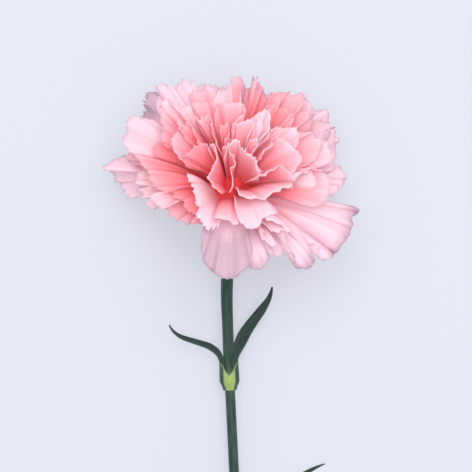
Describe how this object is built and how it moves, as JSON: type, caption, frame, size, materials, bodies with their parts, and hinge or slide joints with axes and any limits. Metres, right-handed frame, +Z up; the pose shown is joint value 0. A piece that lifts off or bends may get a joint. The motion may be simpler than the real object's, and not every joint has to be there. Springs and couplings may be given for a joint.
{
  "type": "cut carnation",
  "caption": "Cut pink carnation lying on its side: ruffled toothed petals in layers, green calyx, jointed stem with narrow paired leaves.",
  "frame": {"origin": "middle of the footprint, on the surface that the flower lies on", "axes": "+Y along the stem from its cut end to the bloom, +Z up from the surface"},
  "size_m": [0.0842, 0.2367, 0.0529],
  "materials": {
    "petal": "soft satin petal, coral in its depth and nearly white at its rims",
    "calyx": "smooth waxy green",
    "bract": "smooth waxy green",
    "stem": "smooth green with a grey waxy bloom",
    "leaf": "matt blue-green with a grey waxy bloom"
  },
  "bodies": {
    "root": {"bloom": "petal", "calyx": "calyx", "epicalyx": "bract", "stem": "stem", "leaf_pair_upper": "leaf", "leaf_pair_lower": "leaf"}
  },
  "joints": []
}
